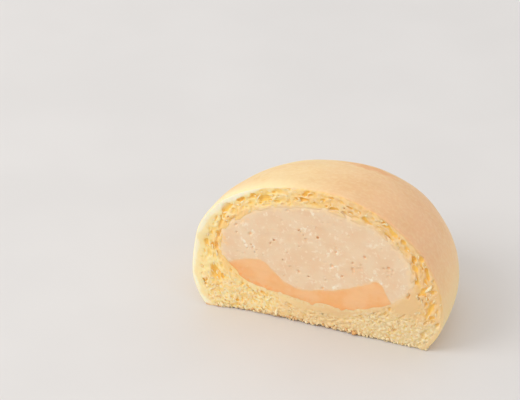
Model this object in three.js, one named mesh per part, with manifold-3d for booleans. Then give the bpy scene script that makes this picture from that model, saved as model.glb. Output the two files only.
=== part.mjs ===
// Half of a baked custard cream bun, cut open with a knife. Millimetres, +Z up.
//
// The bun is a soft, lopsided dome of bread. Its flat cut face looks towards -Y and shows a ring of open crumb
// round a filling of whipped cream, which lies on a layer of custard that climbs up round its edge.
// The bread and its filling are made whole, as they were baked and piped, and then sliced by the same knife.
import * as THREE from "three";
import { mergeVertices } from "three/addons/utils/BufferGeometryUtils.js";
import Module from "manifold-3d";

// ---- Driving dimensions ----------------------------------------------------------------------------------------

const BUN_HEIGHT = 46.5;
const BUN_DEPTH = 50; // from the cut face to the back: a little more than half of the bun
const WIDEST_HEIGHT = 13; // the bun bulges out at this height, and tucks in below it
const BACK_WALL = 11; // thickness of the bread behind the filling
const GAP = 0.3; // between touching pieces

// A lobe is an egg-like form: its reach to each side of its axis (x), above and below its widest height (z), in
// front of and behind the cut (y = 0), and how square its upright outline is on each side (2 is an ellipse) and
// its outline in plan.
const BUN = {
  x: 1.5,
  z: WIDEST_HEIGHT,
  left: 42.7,
  right: 37.3,
  up: BUN_HEIGHT - WIDEST_HEIGHT,
  down: 25.5, // the flat underside cuts it off
  front: 32,
  back: BUN_DEPTH,
  above: { left: 2.3, right: 1.9 },
  below: { left: 2.15, right: 1.9 },
  plan: 2.2,
};
const FILLING = {
  x: 0,
  z: 21.9,
  left: 31.5,
  right: 28.2,
  up: 18.4,
  down: 13.8,
  front: 20,
  back: BUN_DEPTH - BACK_WALL,
  above: { left: 1.9, right: 2.1 },
  below: { left: 2.45, right: 2 },
  plan: 2.1,
};

// The custard's surface: a trough under the cream, with a rim that rises round it. To each side, the rim's
// distance from the middle of the trough, its rise, and how far its slopes run inwards and outwards.
const CUSTARD = {
  middle: -2,
  trough: 11.9,
  left: { reach: 17.5, rise: 6.7, inwards: 6.4, outwards: 14 },
  right: { reach: 21, rise: 7.3, inwards: 12.5, outwards: 3.1 },
};

// The knife dragged the bottom crust back a little: the cut's lower edge bows up by a shallow, rounded notch of
// this size.
const ARCH = { x: -2, halfWidth: 30, depth: 1.4, rise: 1.1 };

// Open cells of the crumb on the cut face.
const PORES = {
  seed: 11,
  count: 88,
  length: [1.6, 4], // along the ring of bread
  slender: [0.34, 0.5], // width as a share of length
  turn: [-0.35, 0.35], // away from the ring's direction, in radians
  depth: 1.1,
  skinClearance: 1.8,
  fillingClearance: 0.9,
};

const DETAIL = {
  bun: { columns: 76, rows: 34 },
  filling: { columns: 56, rows: 24 },
  custard: { columns: 34, rows: 20 },
};

// ---- Solids ----------------------------------------------------------------------------------------------------

const wasm = await Module();
wasm.setup();

/** A closed geometry as a manifold solid. */
function toSolid(geometry) {
  const bare = geometry.clone();
  bare.deleteAttribute("normal");
  bare.deleteAttribute("uv");
  const merged = mergeVertices(bare, 1e-4);
  return new wasm.Manifold(
    new wasm.Mesh({
      numProp: 3,
      vertProperties: merged.attributes.position.array,
      triVerts: new Uint32Array(merged.index.array),
    }),
  );
}

/** A manifold solid as a geometry. */
function toGeometry(solid) {
  const { vertProperties, triVerts } = solid.getMesh();
  return new THREE.BufferGeometry()
    .setAttribute("position", new THREE.BufferAttribute(vertProperties, 3))
    .setIndex(new THREE.BufferAttribute(triVerts, 1));
}

/** A box solid between two corners. */
function boxSolid(low, high) {
  const size = high.clone().sub(low);
  const middle = high.clone().add(low).multiplyScalar(0.5);
  return toSolid(new THREE.BoxGeometry(size.x, size.y, size.z).translate(middle.x, middle.y, middle.z));
}

/** Random numbers from 0 to 1, the same in every run. */
function randomFrom(seed) {
  let state = seed;
  return () => {
    state = (state * 1664525 + 1013904223) % 4294967296;
    return state / 4294967296;
  };
}

const between = (range, share) => range[0] + (range[1] - range[0]) * share;

// ---- Lobes -----------------------------------------------------------------------------------------------------

/** How square a lobe's upright outline is in one direction round it: it changes smoothly from side to side. */
function squareness(sides, angle) {
  const rightness = (1 + Math.cos(angle)) / 2;
  return sides.left + (sides.right - sides.left) * rightness;
}

/** How far out of its full reach a lobe is at a height, where height runs from -1 to 1 about its widest level. */
function spread(lobe, angle, height) {
  const power = squareness(height < 0 ? lobe.below : lobe.above, angle);
  return Math.pow(Math.max(0, 1 - Math.pow(Math.abs(height), power)), 1 / power);
}

/** A point of a lobe's surface. Angle 0 is to the right (+X), and a quarter turn is to the back (+Y). */
function lobePoint(lobe, angle, height, grow = 0) {
  const c = Math.cos(angle);
  const s = Math.sin(angle);
  const flat = 2 / lobe.plan;
  const out = spread(lobe, angle, height);
  const reachX = (c < 0 ? lobe.left : lobe.right) + grow;
  const reachY = (s < 0 ? lobe.front : lobe.back) + grow;
  const reachZ = (height < 0 ? lobe.down : lobe.up) + grow;
  return new THREE.Vector3(
    lobe.x + reachX * out * Math.sign(c) * Math.pow(Math.abs(c), flat),
    reachY * out * Math.sign(s) * Math.pow(Math.abs(s), flat),
    lobe.z + reachZ * height,
  );
}

/** A whole lobe as a closed geometry: rings from the bottom point to the top one. */
function lobeGeometry(lobe, { columns, rows }, grow = 0) {
  const points = [lobePoint(lobe, 0, -1, grow)];
  for (let j = 1; j < rows; j++) {
    const height = -Math.cos((Math.PI * j) / rows);
    for (let i = 0; i < columns; i++)
      points.push(lobePoint(lobe, (2 * Math.PI * (i + 0.5)) / columns, height, grow));
  }
  points.push(lobePoint(lobe, 0, 1, grow));

  const at = (j, i) => 1 + (j - 1) * columns + (i % columns);
  const last = points.length - 1;
  const faces = [];
  for (let i = 0; i < columns; i++) {
    faces.push(0, at(1, i + 1), at(1, i));
    for (let j = 1; j < rows - 1; j++) {
      faces.push(at(j, i), at(j, i + 1), at(j + 1, i + 1));
      faces.push(at(j, i), at(j + 1, i + 1), at(j + 1, i));
    }
    faces.push(last, at(rows - 1, i), at(rows - 1, i + 1));
  }
  return new THREE.BufferGeometry().setFromPoints(points).setIndex(faces);
}

// ---- Custard ---------------------------------------------------------------------------------------------------

/** Height of the custard's top surface at a place in plan. */
function custardTop(x, y) {
  const acrossDepth = FILLING.left / FILLING.back; // the rim is as oval as the filling
  const dx = x - CUSTARD.middle;
  const dy = y * acrossDepth;
  const distance = Math.hypot(dx, dy);
  const rightness = distance > 0 ? (1 + dx / distance) / 2 : 0.5;
  const blend = (name) => CUSTARD.left[name] + (CUSTARD.right[name] - CUSTARD.left[name]) * rightness;
  const past = distance - blend("reach");
  const slope = past < 0 ? blend("inwards") : blend("outwards");
  return CUSTARD.trough + blend("rise") * Math.exp(-Math.pow(past / slope, 2));
}

/** Everything under the custard's surface, moved up by lift, as a block that is wider than the filling. */
function underCustard(lift) {
  const { columns, rows } = DETAIL.custard;
  const low = new THREE.Vector2(FILLING.x - FILLING.left - 1, -1);
  const high = new THREE.Vector2(FILLING.x + FILLING.right + 1, FILLING.back + 1);
  const block = new THREE.BoxGeometry(1, 1, 1, columns, rows, 1);
  const place = block.attributes.position;
  for (let i = 0; i < place.count; i++) {
    const x = low.x + (high.x - low.x) * (place.getX(i) + 0.5);
    const y = low.y + (high.y - low.y) * (place.getY(i) + 0.5);
    place.setXYZ(i, x, y, place.getZ(i) < 0 ? 0 : custardTop(x, y) + lift);
  }
  return toSolid(block);
}

// ---- Crumb -----------------------------------------------------------------------------------------------------

/** Where a lobe's outline on the cut face lies, in polar form about a middle point, by stepping outwards. */
function outlineReach(lobe, middle, direction) {
  const inside = (x, z) => {
    const height = (z - lobe.z) / (z < lobe.z ? lobe.down : lobe.up);
    if (Math.abs(height) >= 1 || z < 0) return false;
    const toRight = x > lobe.x;
    const reach = toRight ? lobe.right : lobe.left;
    return Math.abs(x - lobe.x) < reach * spread(lobe, toRight ? 0 : Math.PI, height);
  };
  const step = 0.1;
  let reach = 0;
  while (inside(middle.x + direction.x * reach, middle.z + direction.z * reach)) reach += step;
  return reach;
}

/** The open cells of the crumb, as flattened octahedra that lie along the ring of bread. */
function poreSolids() {
  const random = randomFrom(PORES.seed);
  const middle = { x: FILLING.x, z: FILLING.z };
  const pores = [];
  for (let i = 0; i < PORES.count; i++) {
    const angle = (2 * Math.PI * (i + random())) / PORES.count;
    const direction = { x: Math.cos(angle), z: Math.sin(angle) };
    const length = between(PORES.length, Math.pow(random(), 2));
    const width = length * between(PORES.slender, random());
    const inner = outlineReach(FILLING, middle, direction) + PORES.fillingClearance + width / 2;
    const outer = outlineReach(BUN, middle, direction) - PORES.skinClearance - width / 2;
    const share = random();
    const turn = between(PORES.turn, random());
    if (outer < inner) continue;
    const reach = inner + (outer - inner) * share;
    const cell = new THREE.OctahedronGeometry(1, 1)
      .scale(width / 2, PORES.depth, length / 2)
      .rotateY(turn - angle)
      .translate(middle.x + direction.x * reach, 0, middle.z + direction.z * reach);
    pores.push(toSolid(cell));
  }
  return pores;
}

// ---- Pieces ----------------------------------------------------------------------------------------------------

const far = 2 * (BUN.left + BUN.right); // clear of the bun on every side
const inFrontOfCut = boxSolid(new THREE.Vector3(-far, -far, -far), new THREE.Vector3(far, 0, far));
const underBun = boxSolid(new THREE.Vector3(-far, -far, -far), new THREE.Vector3(far, far, 0));

/** The notch along the cut's lower edge: the top of a larger, slim spheroid that rises through the resting plane. */
function archGeometry() {
  const below = 3 * ARCH.rise; // its middle lies this far under the plane, so that it leaves the plane gently
  const grown = (below + ARCH.rise) / Math.sqrt(Math.pow(below + ARCH.rise, 2) - below * below);
  return new THREE.SphereGeometry(1, 32, 24)
    .scale(ARCH.halfWidth * grown, ARCH.depth * grown, below + ARCH.rise)
    .translate(ARCH.x, 0, -below);
}

/** The bread: the baked dome, less the filling's hollow, the notch under the cut and the open cells. */
function makeBread() {
  const dome = toSolid(lobeGeometry(BUN, DETAIL.bun));
  const hollow = toSolid(lobeGeometry(FILLING, DETAIL.filling, GAP));
  const arch = toSolid(archGeometry());
  let bread = dome.subtract(underBun).subtract(inFrontOfCut).subtract(hollow).subtract(arch);
  for (const pore of poreSolids()) bread = bread.subtract(pore);
  return bread;
}

const filling = toSolid(lobeGeometry(FILLING, DETAIL.filling)).subtract(inFrontOfCut);
const pieces = [
  { name: "bread", solid: makeBread(), color: 0xf1d9a0, roughness: 0.8 },
  { name: "whipped_cream", solid: filling.subtract(underCustard(GAP)), color: 0xf5dfc2, roughness: 0.6 },
  { name: "custard", solid: filling.intersect(underCustard(0)), color: 0xf6b878, roughness: 0.4 },
];

const bun = new THREE.Group();
const box = new THREE.Box3();
for (const { name, solid, color, roughness } of pieces) {
  const mesh = new THREE.Mesh(
    toGeometry(solid),
    new THREE.MeshStandardMaterial({ color, roughness, metalness: 0 }),
  );
  mesh.name = name;
  bun.add(mesh);
  box.expandByObject(mesh);
}

// The origin is the middle of the footprint's box, on the surface that the bun rests on.
bun.position.set(-(box.min.x + box.max.x) / 2, -(box.min.y + box.max.y) / 2, -box.min.z);

export default bun;
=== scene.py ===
"""Looks of a half custard cream bun: its bread with open crumb, whipped cream, custard and crumbs.

Forms are worked out in millimetres in the bun's own axes: the cut is the plane y = 0, and the bread lies
behind it and rests on z = 0. make_mesh() moves them to the shared frame, in metres.
"""

import math

import bmesh
import bpy
import numpy as np
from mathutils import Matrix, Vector


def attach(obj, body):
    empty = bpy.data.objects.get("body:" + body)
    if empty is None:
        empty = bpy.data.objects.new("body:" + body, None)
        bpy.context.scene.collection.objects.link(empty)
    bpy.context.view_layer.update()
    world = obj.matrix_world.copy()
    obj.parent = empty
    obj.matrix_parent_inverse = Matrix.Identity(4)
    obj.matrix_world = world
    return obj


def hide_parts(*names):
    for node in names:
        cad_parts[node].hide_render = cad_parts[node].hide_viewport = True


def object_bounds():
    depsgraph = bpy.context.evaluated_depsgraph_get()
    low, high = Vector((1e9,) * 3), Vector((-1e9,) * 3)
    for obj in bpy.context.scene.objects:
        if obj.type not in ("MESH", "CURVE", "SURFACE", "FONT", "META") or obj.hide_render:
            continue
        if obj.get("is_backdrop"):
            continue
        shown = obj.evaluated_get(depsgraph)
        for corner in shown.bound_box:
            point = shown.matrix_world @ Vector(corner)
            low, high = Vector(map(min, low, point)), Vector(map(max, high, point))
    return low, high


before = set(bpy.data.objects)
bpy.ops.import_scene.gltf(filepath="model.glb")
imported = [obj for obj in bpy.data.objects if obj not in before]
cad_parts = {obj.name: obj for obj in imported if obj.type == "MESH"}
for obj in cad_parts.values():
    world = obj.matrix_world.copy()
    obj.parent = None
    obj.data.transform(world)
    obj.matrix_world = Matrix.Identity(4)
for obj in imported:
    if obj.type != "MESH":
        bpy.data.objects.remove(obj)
cad_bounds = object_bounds()

# ---- Sizes, in millimetres ---------------------------------------------------------------------

MM = 0.001
MIDDLE = np.array([-1.2, 25.0, 0.0])  # of the bun's footprint, in its own axes: the frame's origin

# A lobe reaches this far from its axis (x) and its widest height (z), and its outline has these powers.
BUN = {
    "x": 1.5,
    "z": 13.0,
    "left": 42.7,
    "right": 37.3,
    "up": 33.5,
    "down": 25.5,
    "back": 50.0,
    "above": (2.3, 1.9),
    "below": (2.15, 1.9),
    "plan": 2.2,
}
FILLING = {
    "x": 0.0,
    "z": 21.9,
    "left": 31.5,
    "right": 28.2,
    "up": 18.4,
    "down": 13.8,
    "back": 39.0,
    "above": (1.9, 2.1),
    "below": (2.45, 2.0),
    "plan": 2.1,
}
CUSTARD_MIDDLE = -2.0
CUSTARD_TROUGH = 11.9
CUSTARD_RIM = {  # (left, right)
    "reach": (17.5, 21.0),
    "rise": (6.7, 7.3),
    "inwards": (6.4, 12.5),
    "outwards": (14.0, 3.1),
}
CUSTARD_LIP = {"x": 17.6, "rise": 1.2, "half_width": 1.7, "depth": 5.0}  # near its right end
ARCH = {"x": -2.0, "half_width": 30.0, "depth": 1.4, "rise": 0.6}
CORNER_FLARE = 1.7  # the cut face leans out by this much at its lower left corner
FOOT = (13, 6)  # over these heights, downwards, the crumb turns fine
RING_SHAPE = 0.62  # the height of the ring of bread, as a share of its width

SMEAR_OVER_BREAD = 1.1  # the knife dragged the filling this far over the bread's edge
SMEAR_OVER_LAYER = 0.9  # and over the filling's other layer
SMEAR_DROP = 0.45  # it lies this much deeper where it thins out

CRUMB_REACH = 4.0  # the crumb is carved this far behind the cut
BUBBLE_REACH = 2.5  # and the cream this far
CELL_TRIES = 9000
PIT_COUNT = 90
EDGE_CRUMBS = 480
FLAKE_TRIES = 500

FINE = 0.25  # grid step across the cut face
MOST_TRIANGLES = 190_000  # in one piece


# ---- Noise -------------------------------------------------------------------------------------

NOISE_LOW = np.array([-46.0, -6.0, -4.0])  # opposite corners of the box that noise fills
NOISE_HIGH = np.array([44.0, 56.0, 52.0])


class Noise:
    """Smooth noise, usually from -1 to 1: random numbers on a lattice, joined by cubic B-splines."""

    LOUDNESS = 2.6  # brings the blended numbers back to a full swing

    def __init__(self, seed, spacing):
        self.spacing = np.broadcast_to(np.asarray(spacing, float), 3)
        self.low = NOISE_LOW - 2 * self.spacing
        counts = np.ceil((NOISE_HIGH - NOISE_LOW) / self.spacing).astype(int) + 6
        self.values = np.random.default_rng(seed).uniform(-1, 1, counts) * self.LOUDNESS

    def _weights(self, axis, at):
        """The first lattice index and the four spline weights for each coordinate."""
        place = (at - self.low[axis]) / self.spacing[axis]
        first = np.floor(place).astype(int)
        t = place - first
        first = np.clip(first - 1, 0, self.values.shape[axis] - 4)
        weights = [(1 - t) ** 3, 3 * t**3 - 6 * t**2 + 4, -3 * t**3 + 3 * t**2 + 3 * t + 1, t**3]
        return first, np.stack(weights, -1) / 6

    def grid(self, axes):
        """The noise on every point of a grid with these coordinates along its axes."""
        out = self.values
        for axis, at in enumerate(axes):
            first, weights = self._weights(axis, at)
            matrix = np.zeros((len(at), self.values.shape[axis]))
            for k in range(4):
                matrix[np.arange(len(at)), first + k] += weights[:, k]
            out = np.moveaxis(np.tensordot(matrix, out, (1, axis)), 0, axis)
        return out.astype(np.float32)

    def at(self, points):
        """The noise at scattered points."""
        parts = [self._weights(axis, points[:, axis]) for axis in range(3)]
        out = np.zeros(len(points))
        for i in range(4):
            for j in range(4):
                ij = parts[0][1][:, i] * parts[1][1][:, j]
                for k in range(4):
                    found = self.values[parts[0][0] + i, parts[1][0] + j, parts[2][0] + k]
                    out += ij * parts[2][1][:, k] * found
        return out


def on_grid(axes):
    """Reads any Noise on every point of a grid."""
    return lambda source: source.grid(axes)


def at_points(points):
    """Reads any Noise at scattered points."""
    return lambda source: source.at(points)


# ---- Forms -------------------------------------------------------------------------------------


def lobe_level(lobe, x, y, z):
    """1 on a lobe's surface, less inside it and more outside."""
    dx = x - lobe["x"]
    u = np.abs(dx) / np.where(dx < 0, lobe["left"], lobe["right"])
    v = np.abs(y) / lobe["back"]
    across = np.maximum((u ** lobe["plan"] + v ** lobe["plan"]) ** (1 / lobe["plan"]), 1e-6)
    rightness = 0.5 + 0.5 * np.sign(dx) * (u / across) ** (lobe["plan"] / 2)
    h = z - lobe["z"]
    left, right = (np.where(h < 0, lobe["below"][i], lobe["above"][i]) for i in (0, 1))
    power = left + (right - left) * rightness
    height = np.abs(h) / np.where(h < 0, lobe["down"], lobe["up"])
    return (across**power + height**power) ** (1 / power)


def lobe_distance(lobe, x, y, z):
    """About the distance from a lobe's surface, negative inside."""
    step = 0.05
    level = lobe_level(lobe, x, y, z)
    slopes = [
        (lobe_level(lobe, x + step, y, z) - level) / step,
        (lobe_level(lobe, x, y + step, z) - level) / step,
        (lobe_level(lobe, x, y, z + step) - level) / step,
    ]
    return (level - 1) / np.maximum(np.sqrt(sum(s * s for s in slopes)), 1e-3)


def custard_top(x, y):
    """Height of the custard's surface: a trough with a rim that rises round it."""
    dx = x - CUSTARD_MIDDLE
    distance = np.hypot(dx, y * FILLING["left"] / FILLING["back"])
    rightness = 0.5 + 0.5 * dx / np.maximum(distance, 1e-6)
    rim = {k: v[0] + (v[1] - v[0]) * rightness for k, v in CUSTARD_RIM.items()}
    past = distance - rim["reach"]
    slope = np.where(past < 0, rim["inwards"], rim["outwards"])
    return CUSTARD_TROUGH + rim["rise"] * np.exp(-((past / slope) ** 2))


def arch_height(x, y):
    """Height of the underside above z = 0: a shallow lens at the cut."""
    rise = ARCH["rise"]
    below = 3 * rise
    grown = (below + rise) / math.sqrt((below + rise) ** 2 - below**2)
    across = (x - ARCH["x"]) / (ARCH["half_width"] * grown)
    inwards = y / (ARCH["depth"] * grown)
    left = 1 - across**2 - inwards**2
    return np.maximum(0, (below + rise) * np.sqrt(np.maximum(left, 0)) - below)


def cut_place(x, z):
    """The y of the cut face before its relief."""
    return -CORNER_FLARE * smooth(-20, -38, x) * smooth(20, 0, z)


def ring_angle(x, z):
    """Direction on the cut from the filling's middle, as on a ring that isn't squashed."""
    return np.arctan2((z - FILLING["z"]) / RING_SHAPE, x - FILLING["x"])


def soft_max(a, b, radius):
    """The larger of two fields, rounded where they meet."""
    blend = np.maximum(radius - np.abs(a - b), 0) / radius
    return np.maximum(a, b) + blend * blend * radius / 4


def smooth(low, high, x):
    """x's way from low to high, made smooth: 0 before low, 1 past high."""
    t = np.clip((x - low) / (high - low), 0, 1)
    return t * t * (3 - 2 * t)


# ---- From a field to a mesh --------------------------------------------------------------------


def stretched_axis(low, fine_to, high, step, growth, widest):
    """Coordinates that are even up to a place, and then spread out towards the far end."""
    at = list(np.arange(low, fine_to, step))
    while at[-1] < high:
        step = min(step * growth, widest)
        at.append(at[-1] + step)
    return np.array(at)


def surface_of(field, axes):
    """Points and quads where a field on a grid changes sign, with one point in each cell it crosses."""
    inside = field < 0
    count = np.zeros(np.array(field.shape) - 1, np.int8)
    for corner in np.ndindex(2, 2, 2):
        block = [slice(c, size - 1 + c) for c, size in zip(corner, field.shape)]
        count += inside[tuple(block)]
    active = (count > 0) & (count < 8)
    cells = np.argwhere(active)
    number = np.full(active.shape, -1)
    number[active] = np.arange(len(cells))

    total = np.zeros((len(cells), 3))
    hits = np.zeros(len(cells))
    for axis in range(3):
        others = [a for a in range(3) if a != axis]
        for i, j in ((0, 0), (0, 1), (1, 0), (1, 1)):
            low = cells.copy()
            low[:, others[0]] += i
            low[:, others[1]] += j
            high = low.copy()
            high[:, axis] += 1
            a = field[tuple(low.T)].astype(float)
            b = field[tuple(high.T)].astype(float)
            crossed = (a < 0) != (b < 0)
            t = np.where(crossed, a / np.where(crossed, a - b, 1), 0)
            for n in range(3):
                place = axes[n][low[:, n]]
                if n == axis:
                    place = place + t * (axes[n][high[:, n]] - place)
                total[:, n] += np.where(crossed, place, 0)
            hits += crossed
    points = total / hits[:, None]

    quads = []
    for axis in range(3):
        b, c = (axis + 1) % 3, (axis + 2) % 3
        one = [slice(1, -1)] * 3
        one[axis] = slice(0, -1)
        two = list(one)
        two[axis] = slice(1, None)
        start = inside[tuple(one)]
        edges = np.argwhere(start != inside[tuple(two)])
        leaving = start[tuple(edges.T)]
        edges[:, b] += 1
        edges[:, c] += 1
        ring = []
        for i, j in ((-1, -1), (0, -1), (0, 0), (-1, 0)):
            cell = edges.copy()
            cell[:, b] += i
            cell[:, c] += j
            ring.append(number[tuple(cell.T)])
        quad = np.stack(ring, -1)
        quad[~leaving] = quad[~leaving][:, ::-1]
        quads.append(quad)
    return points, np.concatenate(quads)


def largest_part(points, quads):
    """Leaves out loose scraps: keeps the connected surface that has the most points."""
    label = np.arange(len(points))
    edges = np.concatenate([quads[:, [0, 1]], quads[:, [1, 2]], quads[:, [2, 3]], quads[:, [3, 0]]])
    while True:
        low = np.minimum(label[edges[:, 0]], label[edges[:, 1]])
        new = label.copy()
        np.minimum.at(new, label[edges[:, 0]], low)
        np.minimum.at(new, label[edges[:, 1]], low)
        new = np.minimum(new[label], new)
        new = new[new]
        if np.array_equal(new, label):
            break
        label = new
    biggest = np.bincount(label).argmax()
    kept = label == biggest
    renumber = np.cumsum(kept) - 1
    return points[kept], renumber[quads[kept[quads[:, 0]]]]


def link(thing):
    """Puts an object in the scene."""
    bpy.context.scene.collection.objects.link(thing)


def make_mesh(name, points, faces):
    """A smooth mesh object in the shared frame, thinned out where it has too many triangles."""
    mesh = bpy.data.meshes.new(name)
    mesh.vertices.add(len(points))
    mesh.vertices.foreach_set("co", ((points - MIDDLE) * MM).astype(np.float32).ravel())
    size = faces.shape[1]
    mesh.loops.add(faces.size)
    mesh.loops.foreach_set("vertex_index", faces.astype(np.int32).ravel())
    mesh.polygons.add(len(faces))
    mesh.polygons.foreach_set("loop_start", np.arange(0, faces.size, size, dtype=np.int32))
    mesh.update(calc_edges=True)
    mesh.validate()
    piece = bpy.data.objects.new(name, mesh)
    link(piece)
    triangles = len(faces) * (size - 2)
    if triangles > MOST_TRIANGLES:
        thin_out(piece, MOST_TRIANGLES / triangles)
    piece.data.shade_smooth()
    return piece


def thin_out(piece, share):
    """Leaves this share of a piece's triangles, fewest where it is flattest."""
    modifier = piece.modifiers.new("fewer", "DECIMATE")
    modifier.ratio = share
    bpy.context.view_layer.update()
    evaluated = piece.evaluated_get(bpy.context.evaluated_depsgraph_get())
    thinned = bpy.data.meshes.new_from_object(evaluated)
    thinned.name = piece.name
    piece.modifiers.clear()
    piece.data = thinned


def own_points(piece):
    """A piece's points in the bun's own axes, in millimetres."""
    flat = np.empty(len(piece.data.vertices) * 3, np.float32)
    piece.data.vertices.foreach_get("co", flat)
    return flat.reshape(-1, 3) / MM + MIDDLE


def give(piece, **attributes):
    """Puts one number for each point on a piece, under each attribute's name."""
    for key, values in attributes.items():
        made = piece.data.attributes.new(key, "FLOAT", "POINT")
        made.data.foreach_set("value", values.astype(np.float32))


# ---- Shared shapes of the cut ------------------------------------------------------------------

# Each has a seed of its own. A larger spacing makes broader lumps.
wobble = Noise(seed=3, spacing=4.5)  # the filling's uneven edge
fine_wobble = Noise(seed=4, spacing=1.6)
ragged = Noise(seed=16, spacing=0.8)
broad_lumps = Noise(seed=5, spacing=17.0)
small_lumps = Noise(seed=6, spacing=5.0)
dimples = Noise(seed=7, spacing=2.2)
crumb_grain = Noise(seed=8, spacing=0.7)
crumb_lumps = Noise(seed=9, spacing=1.6)
sponge_wide = Noise(seed=13, spacing=(1.8, 1.1, 0.85))
sponge_tall = Noise(seed=14, spacing=(0.85, 1.1, 1.8))
sponge_fine = Noise(seed=15, spacing=0.8)
smear = Noise(seed=10, spacing=(5.0, 3.0, 1.1))


def filling_distance(place, noise):
    """Distance from the filling's outside, with its uneven edge."""
    return lobe_distance(FILLING, *place) + 0.4 * noise(wobble) + 0.25 * noise(fine_wobble)


def custard_line(place, noise):
    """Height of the custard's uneven top, with the small lip that stands up at its right end."""
    x, y = place[0], place[1]
    across = (x - CUSTARD_LIP["x"]) / CUSTARD_LIP["half_width"]
    inwards = y / CUSTARD_LIP["depth"]
    lip = CUSTARD_LIP["rise"] * np.exp(-(across**2) - inwards**2)
    return custard_top(x, y) + lip + 0.3 * noise(wobble) + 0.15 * noise(fine_wobble)


def skin_distance(place, noise):
    """Distance from the bun's outside, with its lumps and dimples."""
    relief = 0.35 * noise(broad_lumps) + 0.13 * noise(small_lumps) + 0.03 * noise(dimples)
    return lobe_distance(BUN, *place) + relief


def near_cut(axes, reach):
    """How many of a grid's layers lie up to this far behind the cut, and the axes of that part."""
    layers = np.searchsorted(axes[1], reach)
    return layers, (axes[0], axes[1][:layers], axes[2])


# ---- Bread -------------------------------------------------------------------------------------

# Open cells that stand out on the cut face: (x, z, length along the ring, width).
LARGE_CELLS = [
    (-36.3, 21.0, 3.2, 1.1),
    (-33.4, 20.6, 3.0, 1.2),
    (-33.4, 11.8, 5.4, 1.9),
    (-35.2, 17.2, 2.0, 0.9),
    (-32.5, 24.8, 2.0, 1.1),
    (-31.9, 28.2, 2.2, 1.0),
    (-29.8, 34.6, 3.8, 1.5),
    (-27.8, 30.9, 4.2, 1.0),
    (-25.2, 38.4, 2.4, 1.3),
    (-21.3, 40.2, 2.2, 1.2),
    (-17.8, 40.6, 3.2, 1.7),
    (-6.3, 42.7, 3.2, 1.1),
    (4.0, 41.4, 2.8, 1.1),
    (8.6, 40.3, 2.2, 0.9),
    (11.4, 42.4, 2.0, 0.9),
    (14.3, 39.6, 4.2, 0.9),
    (22.4, 37.6, 2.9, 1.3),
    (20.8, 35.9, 2.8, 1.1),
    (25.9, 35.4, 2.2, 1.2),
    (27.0, 33.4, 2.2, 1.2),
    (29.2, 30.6, 2.2, 1.2),
    (31.2, 30.6, 2.2, 1.3),
    (29.6, 27.2, 1.9, 1.3),
    (33.6, 25.4, 2.6, 1.0),
    (30.0, 22.6, 1.8, 1.1),
    (32.4, 20.6, 1.7, 1.0),
    (34.6, 14.4, 5.2, 1.0),
    (27.6, 17.6, 1.6, 0.9),
    (32.6, 5.4, 2.4, 1.2),
    (24.0, 4.6, 3.0, 0.9),
]

# Moist and smooth crumb by the custard's right end.
DENSE_PATCH = {"x": 26.3, "z": 15.5, "half_width": 5.4, "half_height": 5.8}


def openness(x, z, under_skin, clear):
    """How open the crumb is, from 0 to 1: closed in the skin, by the filling and in the dense patch."""
    foot = smooth(*FOOT, z)
    left = smooth(-16, -32, x)
    middle = smooth(-17, -7, x) * smooth(15, 5, x)
    soaked = 0.9 + 1.7 * foot + 2.2 * foot * middle
    ring = smooth(0.2 + 0.9 * left, 0.7 + 3.8 * left, under_skin) * smooth(0.1, soaked, clear)
    across = (x - DENSE_PATCH["x"]) / DENSE_PATCH["half_width"]
    up = (z - DENSE_PATCH["z"]) / DENSE_PATCH["half_height"]
    return ring * (0.12 + 0.88 * smooth(0.65, 1.15, np.hypot(across, up)))


def uneven_openness(place, noise, under_skin, clear):
    """How open the crumb is, with ragged limits."""
    shift = 0.5 * noise(small_lumps) + 0.35 * noise(crumb_lumps)
    return openness(place[0], place[2], under_skin + shift, clear + 0.6 * shift)


def small_cells(random):
    """Random open cells of the crumb, finer at the foot, as rows of (x, y, z, length, width)."""
    x = random.uniform(-42, 40, CELL_TRIES)
    z = random.uniform(0.6, 46, CELL_TRIES)
    y = cut_place(x, z) + random.uniform(-0.15, 0.15, CELL_TRIES)
    size = random.uniform(0, 1, CELL_TRIES) ** 2.2
    under_skin = -lobe_distance(BUN, x, 0 * y, z)
    clear = lobe_distance(FILLING, x, 0 * y, z)
    foot = smooth(*FOOT, z)
    width = (0.55 + 0.75 * size) * (1 - 0.4 * foot)
    length = width * random.uniform(1.2, 2.4, CELL_TRIES)
    fits = openness(x, z, under_skin - width / 2, clear - width / 2) > 0.5
    rows = np.stack([x, y, z, length, width], -1)[fits]
    kept = np.zeros((0, 5))
    for row in rows:
        apart = np.hypot(kept[:, 0] - row[0], kept[:, 2] - row[2])
        sizes = kept[:, 3] + row[3] + kept[:, 4] + row[4]  # both cells' lengths and widths
        room = 0.25 * sizes * 0.85  # they may overlap a little
        if not (apart < room).any():
            kept = np.vstack([kept, row])
    return kept.tolist()


def carve_cells(field, axes, cells, warp, deepening):
    """Takes ellipsoid cells, a little warped, out of a field. Each lies along the ring of bread."""
    margin = 0.9  # room for the warp round a cell
    for x, y, z, length, width in cells:
        radii = np.array([length / 2, 0.2 + deepening * width, width / 2])
        reach = radii.max() + margin
        ends = [np.searchsorted(axis, (c - reach, c + reach)) for axis, c in zip(axes, (x, y, z))]
        block = tuple(slice(*pair) for pair in ends)
        if any(start == stop for start, stop in ends):
            continue
        gx, gy, gz = np.meshgrid(*(axis[s] for axis, s in zip(axes, block)), indexing="ij")
        angle = ring_angle(x, z) + math.pi / 2
        px = gx - x + 0.34 * warp[0][block]
        py = gy - y + 0.3 * warp[1][block]
        pz = gz - z + 0.34 * warp[2][block]
        along = px * math.cos(angle) + pz * math.sin(angle)
        out = -px * math.sin(angle) + pz * math.cos(angle)
        level = np.sqrt((along / radii[0]) ** 2 + (py / radii[1]) ** 2 + (out / radii[2]) ** 2)
        hole = (level - 1) * radii[2]
        field[block] = soft_max(field[block], -hole, 0.25)


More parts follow.
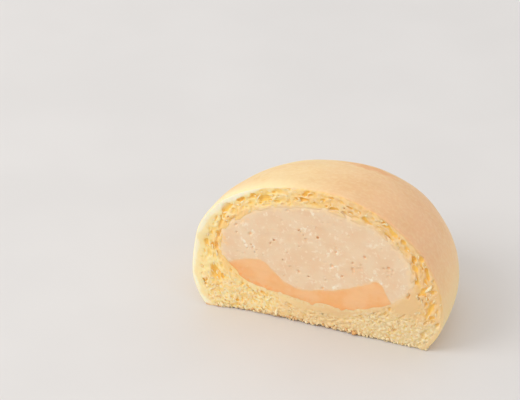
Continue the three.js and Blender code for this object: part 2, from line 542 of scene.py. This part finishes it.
def sponge(place, noise, open_):
    """A field of the crumb's small irregular holes near the cut: above 0 inside a hole."""
    x, y, z = place
    upright = np.cos(ring_angle(x, z)) ** 2  # at the sides the ring of bread stands upright
    level = upright * noise(sponge_tall) + (1 - upright) * noise(sponge_wide)
    foot = smooth(*FOOT, z)
    level = level + foot * (noise(sponge_fine) - level)
    behind = y - cut_place(x, z)
    limit = 0.42 + 0.06 * foot + 1.6 * smooth(0.0, 0.8 - 0.2 * foot, behind) + 3 * (1 - open_)
    steepness = 0.6 - 0.25 * foot  # turns the noise into about a distance
    return (level - limit) * steepness


def bread_surface():
    """The bread: its skin, the open crumb of the cut face and the filling's hollow."""
    axes = (
        np.arange(-42.6, 40.4, FINE),
        stretched_axis(-3.0, fine_to=3.3, high=52, step=FINE, growth=1.22, widest=1.6),
        np.arange(-1.2, 48.4, FINE),
    )
    place = np.meshgrid(*axes, indexing="ij", sparse=True)
    x, y, z = place
    noise = on_grid(axes)
    outside = skin_distance(place, noise)
    hollow = filling_distance(place, noise)
    foot = smooth(12, 4, z)
    lumps = noise(crumb_lumps)
    base = arch_height(x, y) - z + smooth(3, 0, y) * foot * 0.25 * lumps
    body = soft_max(outside, base, 0.7 + 1.1 * smooth(2, 12, y))

    open_ = uneven_openness(place, noise, -outside, hollow)
    face = cut_place(x, z) - y + (0.05 + 0.1 * open_) * lumps
    face += (0.03 + 0.09 * open_) * noise(crumb_grain)
    face += 0.4 * smooth(0.1, -0.7, hollow)  # a thin lip that goes on under the filling's face
    hollow = hollow + 0.9 * smooth(1.4, 0.4, y)
    rounding = 0.4 + 0.7 * smooth(-25, 0, x) * smooth(8, 16, z)
    field = np.maximum(soft_max(body, face, rounding), -hollow)

    layers, near_axes = near_cut(axes, CRUMB_REACH)
    near_place = np.meshgrid(*near_axes, indexing="ij", sparse=True)
    near = field[:, :layers].astype(np.float64)
    near = soft_max(near, sponge(near_place, on_grid(near_axes), open_[:, :layers]), 0.15)
    random = np.random.default_rng(12)
    large = [
        (cx, cut_place(cx, cz) + random.uniform(0, 0.15), cz, length * 1.1, width * 1.25)
        for cx, cz, length, width in LARGE_CELLS
    ]
    warp = [Noise(seed, spacing=1.3).grid(near_axes) for seed in (20, 21, 22)]
    carve_cells(near, near_axes, large, warp, deepening=0.35)
    carve_cells(near, near_axes, small_cells(random), warp, deepening=0.2)
    field[:, :layers] = near
    return largest_part(*surface_of(field, axes))


def make_bread():
    piece = make_mesh("bread_crumb_and_skin", *bread_surface())
    points = own_points(piece)
    place = points.T
    noise = at_points(points)
    depth = -skin_distance(place, noise)
    clear = filling_distance(place, noise)
    give(
        piece,
        depth=depth,
        clear=clear,
        behind=place[1] - cut_place(place[0], place[2]),
        above=place[2] - arch_height(place[0], place[1]),
        open=uneven_openness(place, noise, depth, clear),
    )
    piece.data.materials.append(bread_material())
    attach(piece, "root")
    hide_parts("bread")


# ---- Cream and custard -------------------------------------------------------------------------

# Bubbles that the knife opened in the cream: (x, y, z, length, width).
BUBBLES = [
    (-22.3, 0.1, 27.4, 1.3, 0.9),
    (3.7, 0.1, 22.1, 1.1, 0.8),
    (-0.9, 0.1, 30.9, 1.0, 0.8),
    (-6.7, 0.1, 17.8, 1.1, 0.8),
    (14.0, 0.1, 27.6, 1.1, 0.8),
    (21.5, 0.1, 25.7, 1.2, 0.9),
    (-6.8, 0.1, 32.2, 0.9, 0.7),
]


def filling_axes():
    """A grid round the filling."""
    step = FINE * 0.9
    return (
        np.arange(-33.5, 30.5, step),
        stretched_axis(-1.2, fine_to=1.6, high=41, step=step, growth=1.25, widest=1.6),
        np.arange(6.5, 42.5, step),
    )


def sliced(place, outside, past_neighbour, relief, rag):
    """A layer of the filling, which the knife smeared a little over its neighbours' edges."""
    smeared = smooth(1.4, 0.4, place[1])
    to_bread = outside - SMEAR_OVER_BREAD * smeared
    to_layer = past_neighbour - SMEAR_OVER_LAYER * smeared
    body = soft_max(to_bread, to_layer, 0.1)
    thin_on_bread = smooth(-0.1, 1.3, outside + 0.5 * rag)
    thin_on_layer = smooth(0.0, 1.1, past_neighbour + 0.25 * rag)
    drop = SMEAR_DROP * np.maximum(thin_on_bread, thin_on_layer)
    bulge = 0.08 * smooth(0.5, -2.5, outside)
    face = -place[1] + relief - bulge + drop
    return soft_max(body, face, 0.1)


def pits(random, count, low, high, cluster_count):
    """Small bubbles in the cream's cut face, alone and in clusters, as rows like BUBBLES."""
    rows = []
    centres = [(random.uniform(-24, 24), random.uniform(20, 37)) for _ in range(cluster_count)]
    for i in range(count):
        if i % 3:
            x, z = random.uniform(-30, 27), random.uniform(12, 40)
        else:  # every third one lies in a cluster
            middle = centres[i % cluster_count]
            x, z = middle[0] + random.normal(0, 2.2), middle[1] + random.normal(0, 1.4)
        width = low + (high - low) * random.uniform(0, 1) ** 3
        rows.append((x, random.uniform(-0.15, 0.15), z, width * random.uniform(1, 1.6), width))
    return rows


def make_cream():
    axes = filling_axes()
    place = np.meshgrid(*axes, indexing="ij", sparse=True)
    noise = on_grid(axes)
    relief = 0.06 * noise(smear) + 0.06 * noise(small_lumps) + 0.03 * noise(fine_wobble)
    under = custard_line(place, noise) - place[2]
    field = sliced(place, filling_distance(place, noise), under, relief, noise(ragged))
    layers, near_axes = near_cut(axes, BUBBLE_REACH)
    warp = [Noise(seed, spacing=0.9).grid(near_axes) * 0.5 for seed in (30, 31, 32)]
    near = field[:, :layers].astype(np.float64)
    random = np.random.default_rng(31)
    bubbles = BUBBLES + pits(random, PIT_COUNT, low=0.35, high=0.8, cluster_count=7)
    carve_cells(near, near_axes, bubbles, warp, deepening=0.25)
    field[:, :layers] = near
    piece = make_mesh("cream_filling", *largest_part(*surface_of(field, axes)))
    points = own_points(piece)
    noise = at_points(points)
    give(
        piece,
        behind=points[:, 1],
        clear=filling_distance(points.T, noise),
        over=points[:, 2] - custard_line(points.T, noise),
    )
    piece.data.materials.append(cream_material())
    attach(piece, "root")
    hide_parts("whipped_cream")


def make_custard():
    axes = filling_axes()
    axes = (axes[0], axes[1], axes[2][axes[2] < 22])
    place = np.meshgrid(*axes, indexing="ij", sparse=True)
    noise = on_grid(axes)
    relief = 0.06 * noise(smear) + 0.06 * noise(small_lumps)
    over = place[2] - custard_line(place, noise)
    field = sliced(place, filling_distance(place, noise), over, relief, noise(ragged))
    piece = make_mesh("custard_layer", *largest_part(*surface_of(field, axes)))
    points = own_points(piece)
    noise = at_points(points)
    give(
        piece,
        clear=filling_distance(points.T, noise),
        over=points[:, 2] - custard_line(points.T, noise),
    )
    piece.data.materials.append(custard_material())
    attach(piece, "root")
    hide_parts("custard")


# ---- Crumbs ------------------------------------------------------------------------------------

# Crumbs that stand out: (x, y, z, length, width, tilt, how brown).
SINGLE_CRUMBS = [
    (-13.7, -0.3, 1.9, 2.5, 0.9, 1.5, 0.0),
    (11.4, -0.4, 0.8, 1.6, 1.2, 0.3, 0.9),
    (9.9, -0.3, 1.3, 1.3, 0.8, 2.3, 0.1),
    (34.1, 0.0, 21.6, 3.4, 0.9, 1.0, 0.0),
]


def edge_crumbs(random, count):
    """Crumbs that hang at the cut's lower edge, as rows like SINGLE_CRUMBS."""
    rows = []
    for _ in range(count):
        x = random.uniform(-35, 34)
        y = cut_place(x, 0.0) + random.uniform(-0.1, 0.9)
        width = 0.3 + 0.6 * random.uniform() ** 3
        length = width * random.uniform(1, 1.8)
        z = 0.55 * length + random.uniform(0, float(arch_height(x, 0.0)) + 0.2)
        brown = random.uniform(0, 0.9) if -27 < x < 14 else random.uniform(0, 0.4)
        rows.append((x, y, z, length, width, random.uniform(0, 3.14), brown))
    return rows


def torn_flakes(random, tries):
    """Bits of torn cell wall that stand up from the open crumb, as rows like SINGLE_CRUMBS."""
    rows = []
    for _ in range(tries):
        x = random.uniform(-40, 38)
        z = random.uniform(1.5, 45)
        under_skin = -lobe_distance(BUN, x, 0.0, z)
        clear = lobe_distance(FILLING, x, 0.0, z)
        if openness(x, z, under_skin - 0.4, clear - 0.1) < 0.3:
            continue
        foot = smooth(*FOOT, z)
        along = ring_angle(x, z) + math.pi / 2
        tilt = along + random.normal(0, 0.5 + 0.8 * foot)
        width = random.uniform(0.28, 0.5)
        length = width * random.uniform(1.5, 3.6 - 1.6 * foot)
        y = cut_place(x, z) + random.uniform(-0.05, 0.2)
        rows.append((x, y, z, length, width, tilt, random.uniform(0, 0.25)))
    return rows


def make_crumbs():
    """All crumbs and flakes as one piece. Each is a ball that is squashed, roughened and tilted."""
    form = bmesh.new()
    bmesh.ops.create_icosphere(form, subdivisions=2, radius=1)
    ball = np.array([v.co for v in form.verts])
    faces = np.array([[v.index for v in f.verts] for f in form.faces])
    form.free()
    random = np.random.default_rng(41)
    rows = SINGLE_CRUMBS + edge_crumbs(random, EDGE_CRUMBS) + torn_flakes(random, FLAKE_TRIES)
    points, triangles, brown = [], [], []
    for x, y, z, length, width, tilt, toast in rows:
        lumpy = 1 + 0.2 * random.normal(size=(len(ball), 1))
        shape = ball * lumpy * (length / 2, width / 2 * random.uniform(0.5, 0.8), width / 2)
        along = shape[:, 0] * math.cos(tilt) - shape[:, 2] * math.sin(tilt)
        up = shape[:, 0] * math.sin(tilt) + shape[:, 2] * math.cos(tilt)
        triangles.append(faces + len(ball) * len(points))
        points.append(np.stack([x + along, y + shape[:, 1], z + up], -1))
        brown.append(np.full(len(ball), toast))
    piece = make_mesh("crumbs", np.concatenate(points), np.concatenate(triangles))
    give(piece, brown=np.concatenate(brown))
    piece.data.materials.append(crumb_material())
    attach(piece, "root")


# ---- Materials ---------------------------------------------------------------------------------


def linear(red, green, blue):
    """A colour given as on screen, from 0 to 255."""
    out = []
    for value in (red, green, blue):
        value /= 255
        out.append(value / 12.92 if value <= 0.04045 else ((value + 0.055) / 1.055) ** 2.4)
    return (*out, 1.0)


class Nodes:
    """Builds one material's node tree. Its noise and lengths are in millimetres."""

    def __init__(self, name):
        self.material = bpy.data.materials.new(name)
        self.material.use_nodes = True
        self.tree = self.material.node_tree
        self.shader = self.tree.nodes["Principled BSDF"]
        self.place = self.tree.nodes.new("ShaderNodeTexCoord").outputs["Object"]

    def feed(self, socket, value):
        """Links a socket to another one, or sets it to a plain value."""
        if isinstance(value, bpy.types.NodeSocket):
            self.tree.links.new(value, socket)
        else:
            socket.default_value = value

    def noise(self, scale, detail=2.0, roughness=0.5, stretch=None):
        """Noise from 0 to 1 with this many waves in a millimetre."""
        node = self.tree.nodes.new("ShaderNodeTexNoise")
        node.inputs["Scale"].default_value = scale / MM
        node.inputs["Detail"].default_value = detail
        node.inputs["Roughness"].default_value = roughness
        source = self.place
        if stretch:
            mapping = self.tree.nodes.new("ShaderNodeMapping")
            mapping.inputs["Scale"].default_value = stretch
            self.tree.links.new(source, mapping.inputs["Vector"])
            source = mapping.outputs["Vector"]
        self.tree.links.new(source, node.inputs["Vector"])
        return node.outputs["Fac"]

    def attribute(self, name):
        """A number that give() put on the piece."""
        node = self.tree.nodes.new("ShaderNodeAttribute")
        node.attribute_name = name
        return node.outputs["Fac"]

    def coordinate(self, axis):
        """The frame's x, y or z in millimetres."""
        split = self.tree.nodes.new("ShaderNodeSeparateXYZ")
        self.tree.links.new(self.place, split.inputs[0])
        return self.math("MULTIPLY", split.outputs[axis], 1 / MM)

    def math(self, operation, a, b):
        node = self.tree.nodes.new("ShaderNodeMath")
        node.operation = operation
        self.feed(node.inputs[0], a)
        self.feed(node.inputs[1], b)
        return node.outputs[0]

    def square(self, value, middle, reach):
        """The square of value's distance from a middle, 1 at this reach."""
        part = self.math("DIVIDE", self.math("SUBTRACT", value, middle), reach)
        return self.math("MULTIPLY", part, part)

    def ramp(self, value, low, high, start=0.0, end=1.0):
        """value's way from low to high, made smooth, as a number from start to end."""
        node = self.tree.nodes.new("ShaderNodeMapRange")
        node.interpolation_type = "SMOOTHSTEP"
        self.feed(node.inputs["Value"], value)
        limits = (("From Min", low), ("From Max", high), ("To Min", start), ("To Max", end))
        for key, number in limits:
            node.inputs[key].default_value = number
        return node.outputs["Result"]

    def roughened(self, value, scale, detail, shift, calm=0.2):
        """value, shifted up and down by noise, whose lowest and highest parts (calm) are cut off."""
        noise = self.noise(scale, detail)
        return self.math("ADD", value, self.ramp(noise, calm, 1 - calm, -shift, shift))

    def mix(self, share, a, b):
        """A colour between a and b, with this share of b."""
        node = self.tree.nodes.new("ShaderNodeMix")
        node.data_type = "RGBA"
        self.feed(node.inputs["Factor"], share)
        self.feed(node.inputs["A"], a)
        self.feed(node.inputs["B"], b)
        return next(o for o in node.outputs if o.type == "RGBA")

    def paint(self, colour, layers):
        """Puts layers of (share, colour) over a colour, one after another."""
        for share, over in layers:
            colour = self.mix(share, colour, over)
        return colour

    def bump(self, height, strength, distance, normal=None):
        """Relief from a height, on top of another relief where there is one."""
        node = self.tree.nodes.new("ShaderNodeBump")
        node.inputs["Strength"].default_value = strength
        node.inputs["Distance"].default_value = distance * MM
        self.feed(node.inputs["Height"], height)
        if normal:
            self.feed(node.inputs["Normal"], normal)
        return node.outputs["Normal"]

    def scatter(self, weight, radius, reach):
        """Lets light spread under the surface. Too long a reach leaves lines where pieces meet."""
        self.shader.inputs["Subsurface Weight"].default_value = weight
        self.shader.inputs["Subsurface Radius"].default_value = radius
        self.shader.inputs["Subsurface Scale"].default_value = reach * MM

    def finish(self, colour, roughness, normal=None):
        """Feeds the shader and hands over the material."""
        self.feed(self.shader.inputs["Base Color"], colour)
        self.feed(self.shader.inputs["Roughness"], roughness)
        if normal:
            self.feed(self.shader.inputs["Normal"], normal)
        return self.material


WHITISH = linear(255, 235, 198)


def crumb_colour(n, clear, behind, height, across):
    """Pale yellow with whitish walls and orange cells, peachy on the right, with a fine, greyer foot.
    Walls that stand out get a painted highlight, and the cells' orange is a painted glow of light
    scattered in them.
    """
    foot = n.ramp(height, *FOOT)
    right_foot = n.math("MULTIPLY", foot, n.ramp(across, -10, 24, 0, 0.7))
    yellow_specks = n.math("MULTIPLY", foot, n.ramp(n.noise(0.8, 2), 0.55, 0.65, 0, 0.6))
    pale_specks = n.math("MULTIPLY", foot, n.ramp(n.noise(1.0, 2), 0.5, 0.6, 0, 0.6))
    tan_specks = n.math("MULTIPLY", foot, n.ramp(n.noise(1.2, 2), 0.42, 0.34, 0, 0.7))
    middle = n.math("MULTIPLY", n.ramp(across, -17, -7), n.ramp(across, 16, 6, 0, 0.55))

    # Next to the filling it is moist with cream, furthest on the left.
    soaked = n.roughened(clear, 0.7, 3, 0.9)
    soaked = n.math("ADD", soaked, n.ramp(across, -16, -28, 0, -1.1))
    moist = n.math("MULTIPLY", n.ramp(soaked, 1.6, 0.2, 0, 0.8), n.ramp(height, 9, 18, 0.3, 1))
    creamy = n.mix(n.ramp(across, -27, -15), linear(255, 204, 130), linear(243, 208, 166))

    patches = n.ramp(n.noise(0.22, 3), 0.35, 0.65)
    crumb = n.mix(patches, linear(255, 227, 166), linear(255, 214, 148))
    layers = [
        (n.ramp(behind, -0.02, -0.22, 0, 0.6), WHITISH),  # painted highlight on walls that stand out
        (n.ramp(behind, 0.05, 0.3, 0, 0.7), linear(255, 210, 120)),  # painted glow of light scattered in shallow cells
        (n.ramp(n.noise(0.9, 3), 0.52, 0.7, 0, 0.5), WHITISH),
        (n.ramp(across, -18, 22, 0, 0.5), linear(222, 184, 138)),
        (n.ramp(behind, 0.25, 0.55, 0, 0.85), linear(255, 202, 98)),  # painted glow of light scattered in deep cells
        (right_foot, linear(230, 210, 163)),
        (yellow_specks, linear(236, 208, 124)),
        (pale_specks, linear(250, 237, 203)),
        (tan_specks, linear(230, 174, 108)),
        (n.math("MULTIPLY", foot, middle), linear(233, 204, 156)),
        (moist, creamy),
    ]
    return n.paint(crumb, layers)


def rim_colour(n, depth, height, across):
    """The closed bread under the skin: its own pale tone, made whitish on the left by painted light from
    the left, peachy on the right, yellower inwards.
    """
    # the pale band with painted light from the left, used on its left side
    palest_with_painted_light = n.mix(n.ramp(height, 14, 28), linear(255, 243, 214), linear(255, 242, 213))
    peachy = n.mix(n.ramp(height, 10, 24), linear(240, 211, 160), linear(229, 189, 135))
    outer = n.mix(n.ramp(across, -24, 4), palest_with_painted_light, peachy)
    inner = n.mix(n.ramp(across, -20, 5), linear(255, 226, 166), linear(236, 199, 146))
    inwards = n.roughened(depth, 0.3, 3, 0.6, 0.3)
    inwards = n.math("ADD", inwards, n.ramp(height, 22, 34, 0, -0.8))
    return n.mix(n.ramp(inwards, 0.4, 1.9, 0, 0.9), outer, inner)


def skin_colour(n, behind, height, across):
    """Pale at the foot, and by the cut on the left with a painted glow of light from the left; golden to
    peach on top and on the right.
    """
    blotches = n.ramp(n.noise(0.07, 3, 0.6), 0.42, 0.68)
    gold = n.mix(blotches, linear(241, 208, 154), linear(237, 199, 144))
    peach = n.mix(blotches, linear(240, 191, 146), linear(235, 184, 135))
    top = n.mix(n.ramp(across, -20, 30), gold, peach)
    skin = n.mix(n.ramp(height, 6.0, 34.0), linear(255, 220, 164), top)
    # painted glow: the skin by the cut is lighter on the left, where light from the left shines through
    # its thin edge
    painted_glow_by_cut = n.math("MULTIPLY", n.ramp(behind, 7, 0, 0, 0.75), n.ramp(across, 8, -20))

    # A browner patch on the top.
    away = n.math("ADD", n.square(across, 6, 10), n.square(n.coordinate("Y"), 3, 4.5))
    away = n.roughened(away, 0.4, 3, 0.4, 0.3)
    baked = n.math("MULTIPLY", n.ramp(away, 1.1, 0.0, 0, 0.75), n.ramp(height, 30, 36))
    layers = [
        (n.ramp(n.noise(0.9, 3), 0.4, 0.7, 0, 0.2), linear(252, 230, 180)),
        (painted_glow_by_cut, linear(255, 233, 183)),
        (baked, linear(232, 164, 106)),
    ]
    return n.paint(skin, layers)


def bread_material():
    n = Nodes("bread")
    depth = n.attribute("depth")
    clear = n.attribute("clear")
    behind = n.attribute("behind")
    height = n.coordinate("Z")
    across = n.coordinate("X")

    crumb = crumb_colour(n, clear, behind, height, across)
    rim = rim_colour(n, depth, height, across)
    cut = n.mix(n.ramp(n.attribute("open"), 0.1, 0.95), rim, crumb)
    cut = n.mix(n.ramp(clear, 1.6, 0.6), cut, crumb)
    colour = n.mix(n.ramp(depth, 0.4, 0.15), cut, skin_colour(n, behind, height, across))

    # The underside and the cut's lower edge are toasted in patches, least on the right.
    patchy = n.ramp(n.noise(0.18, 2), 0.35, 0.6, 0.4, 1)
    patchy = n.math("MULTIPLY", patchy, n.ramp(across, 20, 8, 0.15, 1))
    crust = n.roughened(n.attribute("above"), 0.5, 3, 0.35, 0.3)
    toasted = n.math("MULTIPLY", n.ramp(crust, 0.55, 0.05), patchy)
    colour = n.mix(toasted, colour, linear(222, 162, 98))

    n.scatter(0.6, (1.0, 0.8, 0.55), 0.7)
    n.shader.inputs["Specular IOR Level"].default_value = 0.35
    rough = n.ramp(n.noise(0.5, 3), 0.3, 0.7, 0.6, 0.78)
    grain = n.math("MULTIPLY", n.noise(2.4, 3), n.ramp(depth, 0.2, 0.6, 0.15, 1))
    fine = n.bump(grain, 0.35, 0.25)
    return n.finish(colour, rough, n.bump(n.noise(0.7, 2), 0.1, 0.25, fine))


def crumb_material():
    n = Nodes("crumb")
    colour = n.mix(n.attribute("brown"), linear(255, 238, 196), linear(222, 158, 88))
    colour = n.mix(n.ramp(n.noise(1.2, 3), 0.4, 0.7, 0, 0.35), colour, linear(254, 212, 138))
    n.scatter(0.3, (1.0, 0.8, 0.55), 0.3)
    rough = n.ramp(n.noise(0.9, 2), 0.3, 0.7, 0.65, 0.85)
    return n.finish(colour, rough, n.bump(n.noise(3, 3), 0.5, 0.2))


def cream_material():
    n = Nodes("whipped_cream")
    clusters = n.ramp(n.noise(0.12, 2), 0.5, 0.62)
    flecks = n.math("MULTIPLY", clusters, n.ramp(n.noise(0.5, 3, 0.6), 0.53, 0.66, 0, 0.75))
    edge = n.roughened(n.attribute("clear"), 0.7, 3, 0.8)
    left_edge = n.math("MULTIPLY", n.ramp(edge, -3.2, -0.8), n.ramp(n.coordinate("X"), -14, -25))
    spots = n.math("MULTIPLY", left_edge, n.ramp(n.noise(0.5, 3), 0.52, 0.62, 0, 0.6))
    by_custard = n.roughened(n.attribute("over"), 0.6, 2, 0.4)

    patches = n.ramp(n.noise(0.16, 3), 0.35, 0.65)
    cream = n.mix(patches, linear(239, 212, 178), linear(237, 204, 167))
    layers = [
        (flecks, linear(255, 244, 224)),
        (n.ramp(n.noise(0.9, 3), 0.58, 0.72, 0, 0.4), linear(255, 240, 218)),
        (n.ramp(n.noise(1.0, 3, 0.6), 0.4, 0.3, 0, 0.5), linear(242, 192, 148)),
        (n.ramp(n.attribute("behind"), 0.12, 0.4, 0, 0.75), linear(255, 208, 160)),  # painted warm shade inside the bubbles
        (n.ramp(edge, -1.2, 0.4, 0, 0.8), linear(249, 219, 176)),
        (spots, linear(253, 204, 140)),
        (n.ramp(by_custard, 0.7, 0.0, 0, 0.6), linear(250, 206, 152)),
    ]
    n.scatter(0.5, (1.0, 0.8, 0.6), 0.4)
    rough = n.ramp(n.noise(0.6, 2), 0.3, 0.7, 0.42, 0.6)
    fine = n.bump(n.noise(2.2, 3, 0.6), 0.3, 0.18)
    normal = n.bump(n.noise(0.5, 2, 0.5, (1, 1, 3)), 0.25, 0.25, fine)
    return n.finish(n.paint(cream, layers), rough, normal)


def custard_material():
    n = Nodes("custard")
    by_cream = n.roughened(n.attribute("over"), 0.6, 2, 0.4)
    edge = n.roughened(n.attribute("clear"), 0.8, 3, 1.0)
    dots = n.math("MULTIPLY", n.ramp(edge, -1.2, 0.1), n.ramp(n.coordinate("X"), -10, -20, 0.4, 0.9))

    patches = n.ramp(n.noise(0.11, 3), 0.38, 0.62)
    custard = n.mix(patches, linear(249, 195, 140), linear(247, 183, 120))
    layers = [
        (n.ramp(n.noise(0.8, 3), 0.55, 0.72, 0, 0.3), linear(250, 206, 155)),
        (n.ramp(by_cream, -0.8, 0.1, 0, 0.5), linear(246, 200, 152)),
        (dots, linear(252, 172, 100)),
    ]
    n.scatter(0.5, (1.0, 0.65, 0.4), 0.4)
    rough = n.ramp(n.noise(0.4, 2), 0.3, 0.7, 0.32, 0.45)
    fine = n.bump(n.noise(1.6, 2), 0.15, 0.15)
    normal = n.bump(n.noise(0.35, 2, 0.5, (1, 1, 2.5)), 0.3, 0.3, fine)
    return n.finish(n.paint(custard, layers), rough, normal)


def floor_material():
    n = Nodes("floor")
    patches = n.ramp(n.noise(0.02, 2), 0.3, 0.7)
    return n.finish(n.mix(patches, linear(223, 220, 218), linear(220, 217, 215)), 0.55)


# ---- Stage, light and camera -------------------------------------------------------------------

# Places are in the frame, in millimetres.
PHOTO_WIDTH = 520  # pixels
FOCAL_PIXELS = 2400.85
SENSOR_WIDTH = 36.0
CAMERA_AT = (218.3, -588.2, 392.1)
CAMERA_TO = (-44.4, 38.2, 0.0)

WINDOW = {
    "at": (-800, -650, 860),
    "to": (0, 0, 20),
    "size": 900,
    "power": 6.3,
    "colour": (1.0, 0.985, 0.955),
}
ROOM_COLOUR = (1.0, 0.995, 0.99, 1.0)
ROOM_STRENGTH = 0.85
FLOOR_HALF = 3000


def aim(thing, at, to):
    """Places a camera or lamp, and turns it towards a point."""
    thing.location = Vector(at) * MM
    thing.rotation_euler = (Vector(to) - Vector(at)).to_track_quat("-Z", "Y").to_euler()


def make_camera():
    data = bpy.data.cameras.new("camera")
    data.sensor_width = SENSOR_WIDTH
    data.lens = FOCAL_PIXELS / PHOTO_WIDTH * SENSOR_WIDTH
    data.clip_start = 10 * MM
    data.clip_end = 20
    camera = bpy.data.objects.new("camera", data)
    link(camera)
    aim(camera, CAMERA_AT, CAMERA_TO)
    bpy.context.scene.camera = camera


def make_window():
    data = bpy.data.lights.new("window", "AREA")
    data.shape = "DISK"
    data.size = WINDOW["size"] * MM
    data.energy = WINDOW["power"]
    data.color = WINDOW["colour"]
    lamp = bpy.data.objects.new("window", data)
    link(lamp)
    aim(lamp, WINDOW["at"], WINDOW["to"])


def make_floor():
    half = FLOOR_HALF * MM
    corners = [(-half, -half, 0), (half, -half, 0), (half, half, 0), (-half, half, 0)]
    mesh = bpy.data.meshes.new("floor")
    mesh.from_pydata(corners, [], [(0, 1, 2, 3)])
    floor = bpy.data.objects.new("floor", mesh)
    link(floor)
    mesh.materials.append(floor_material())
    floor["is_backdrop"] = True


def make_room_light():
    world = bpy.data.worlds.new("studio")
    world.use_nodes = True
    background = world.node_tree.nodes["Background"]
    background.inputs["Color"].default_value = ROOM_COLOUR
    background.inputs["Strength"].default_value = ROOM_STRENGTH
    bpy.context.scene.world = world
    bpy.context.scene.view_settings.view_transform = "Standard"


make_camera()
make_floor()
make_window()
make_room_light()
make_bread()
make_cream()
make_custard()
make_crumbs()

visual_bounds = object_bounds()
plain = lambda bounds: [[round(float(v), 6) for v in corner] for corner in bounds]
{"cad": plain(cad_bounds), "visual": plain(visual_bounds)}
